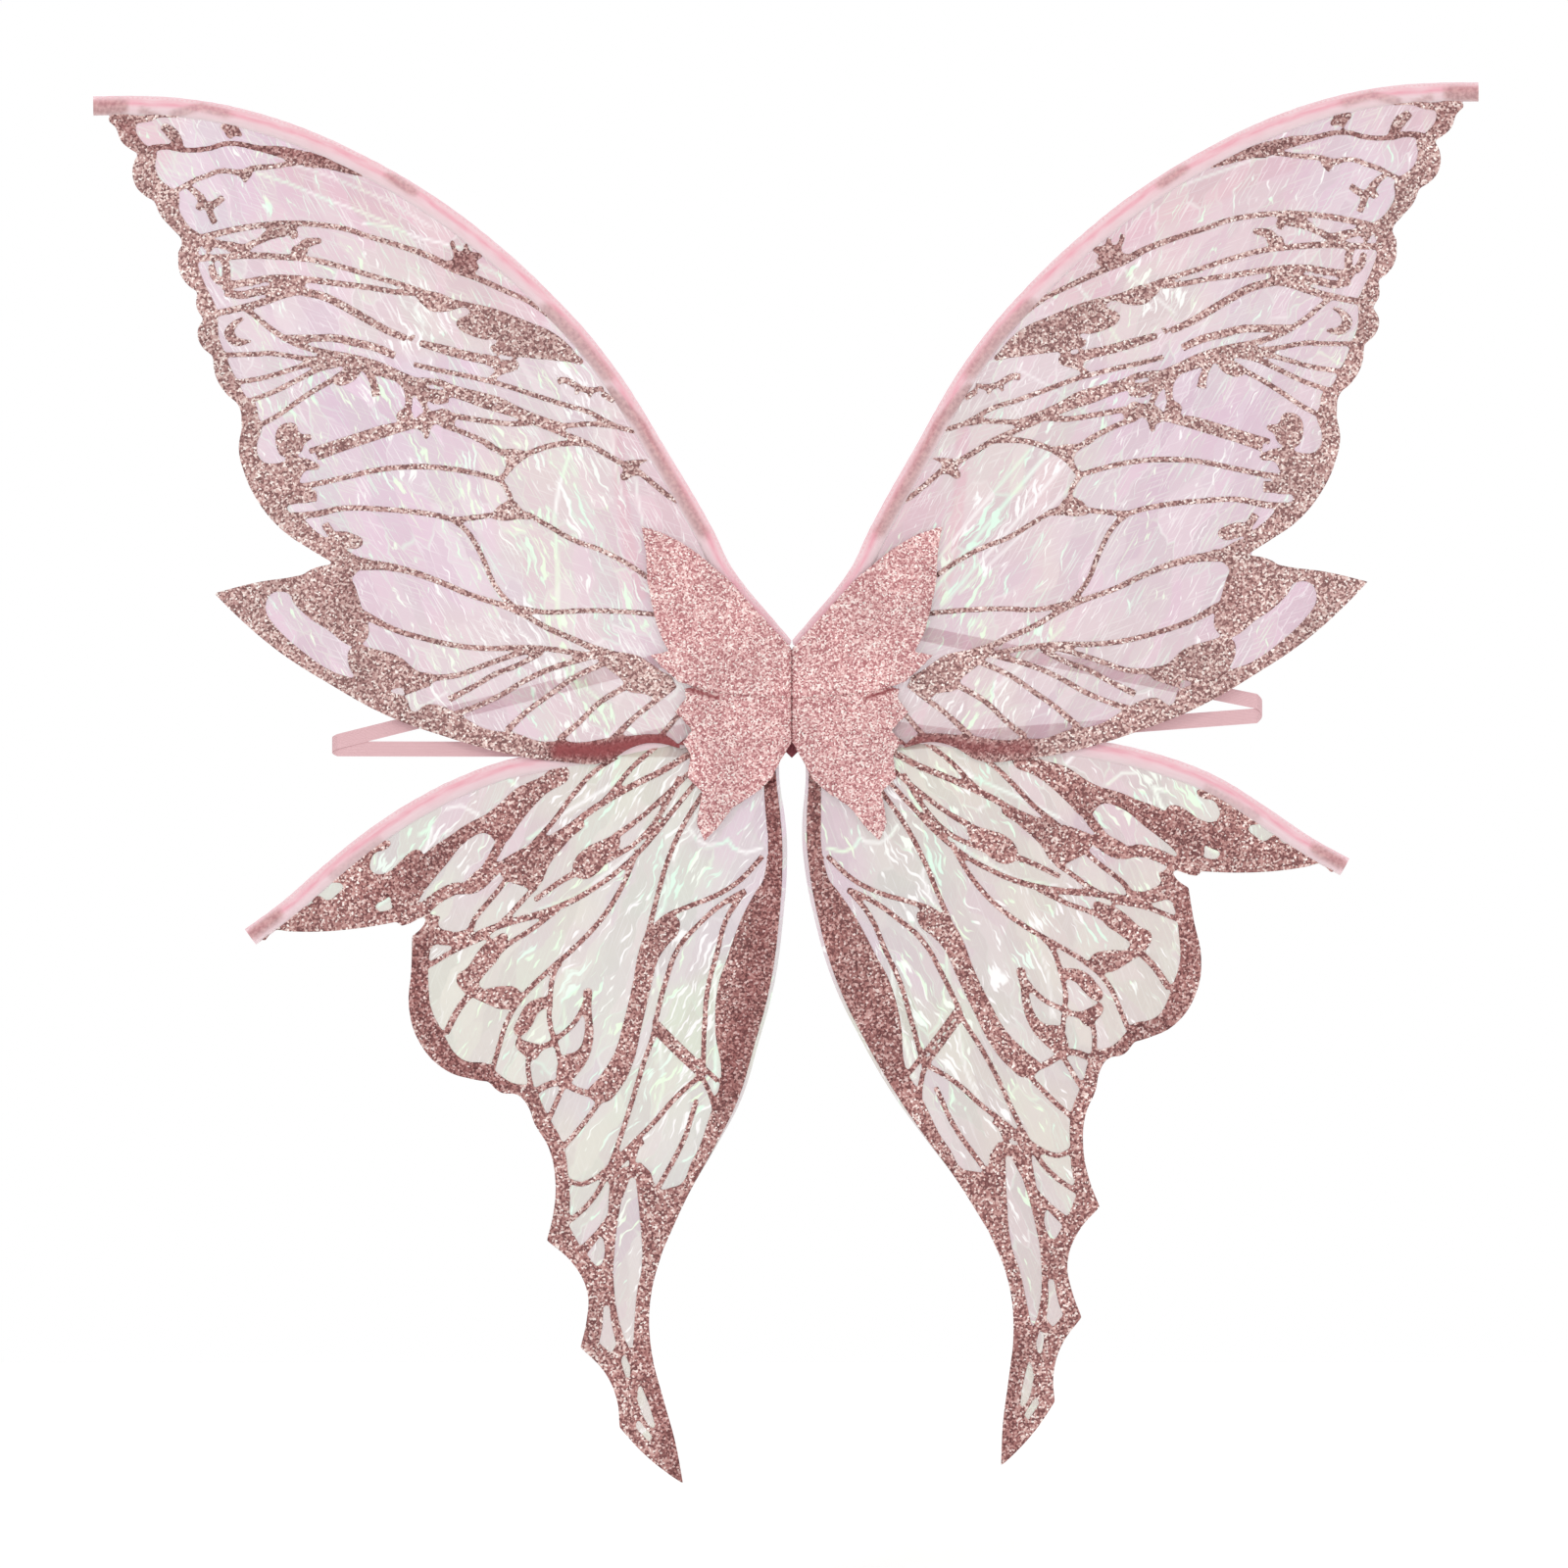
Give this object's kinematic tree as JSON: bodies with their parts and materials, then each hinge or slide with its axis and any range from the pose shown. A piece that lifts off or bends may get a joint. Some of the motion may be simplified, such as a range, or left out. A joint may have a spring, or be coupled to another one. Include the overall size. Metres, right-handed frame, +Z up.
{
  "type": "fairy wings",
  "caption": "Wearable butterfly-style fairy wings: glitter-veined film forewings and tailed hindwings on a folding centre pad with elastic arm loops.",
  "frame": {"origin": "on the middle line of the spine tape's back face, 24 mm below its top end", "axes": "+Z up as worn, +Y out of the tape's back face towards the wearer, +X to the right as the show side is looked at"},
  "size_m": [0.9044, 0.0105, 0.915],
  "materials": {
    "iridescent_film": "iridescent, creased",
    "rose_glitter": "rose-brown glitter",
    "sheer_ribbon": "sheer pink ribbon",
    "spring_wire": "bright spring wire",
    "clear_vinyl": "soft vinyl",
    "pink_glitter_leaf": "coarse pink glitter",
    "pad_lining": "brushed lining",
    "nickel": "nickel plated",
    "pink_elastic": "matt woven elastic",
    "dark_red_tape": "woven tape"
  },
  "bodies": {
    "spine": {"spine_tape": "dark_red_tape"},
    "left_half": {"left_forewing_film": "iridescent_film", "left_forewing_lattice": "rose_glitter", "left_forewing_casing": "sheer_ribbon", "left_forewing_rod": "spring_wire", "left_forewing_rod_cap": "clear_vinyl", "left_forewing_rivet": "nickel", "left_hindwing_rivet": "nickel", "left_upper_leaf": "pink_glitter_leaf", "left_lower_leaf": "pink_glitter_leaf", "left_back_pad": "pad_lining", "left_strap_tab_upper": "pink_elastic", "left_strap_tab_lower": "pink_elastic"},
    "left_hindwing": {"left_hindwing_film": "iridescent_film", "left_hindwing_lattice": "rose_glitter", "left_hindwing_casing": "sheer_ribbon", "left_hindwing_rod": "spring_wire", "left_hindwing_rod_cap": "clear_vinyl"},
    "left_strap": {"left_strap": "pink_elastic"},
    "right_half": {"right_forewing_film": "iridescent_film", "right_forewing_lattice": "rose_glitter", "right_forewing_casing": "sheer_ribbon", "right_forewing_rod": "spring_wire", "right_forewing_rod_cap": "clear_vinyl", "right_forewing_rivet": "nickel", "right_hindwing_rivet": "nickel", "right_upper_leaf": "pink_glitter_leaf", "right_lower_leaf": "pink_glitter_leaf", "right_back_pad": "pad_lining", "right_strap_tab_upper": "pink_elastic", "right_strap_tab_lower": "pink_elastic"},
    "right_hindwing": {"right_hindwing_film": "iridescent_film", "right_hindwing_lattice": "rose_glitter", "right_hindwing_casing": "sheer_ribbon", "right_hindwing_rod": "spring_wire", "right_hindwing_rod_cap": "clear_vinyl"},
    "right_strap": {"right_strap": "pink_elastic"}
  },
  "joints": [
    {"name": "left_fold", "type": "hinge", "parent": "spine", "child": "left_half", "pos_m": [0, -0.0108, 0], "axis": [0, 0, 1], "range_deg": [0, 80]},
    {"name": "left_hindwing_swing", "type": "hinge", "parent": "left_half", "child": "left_hindwing", "pos_m": [-0.018, -0.0039, -0.024], "axis": [0, 1, 0], "range_deg": [0, 8]},
    {"name": "left_strap_swing", "type": "hinge", "parent": "left_half", "child": "left_strap", "pos_m": [-0.072, -0.00045, 0], "axis": [0, 0, -1], "range_deg": [0, 95]},
    {"name": "right_fold", "type": "hinge", "parent": "spine", "child": "right_half", "pos_m": [0, -0.0108, 0], "axis": [0, 0, -1], "range_deg": [0, 80]},
    {"name": "right_hindwing_swing", "type": "hinge", "parent": "right_half", "child": "right_hindwing", "pos_m": [0.018, -0.0039, -0.024], "axis": [0, -1, 0], "range_deg": [-4, 4]},
    {"name": "right_strap_swing", "type": "hinge", "parent": "right_half", "child": "right_strap", "pos_m": [0.072, -0.00045, 0], "axis": [0, 0, 1], "range_deg": [0, 95]}
  ]
}
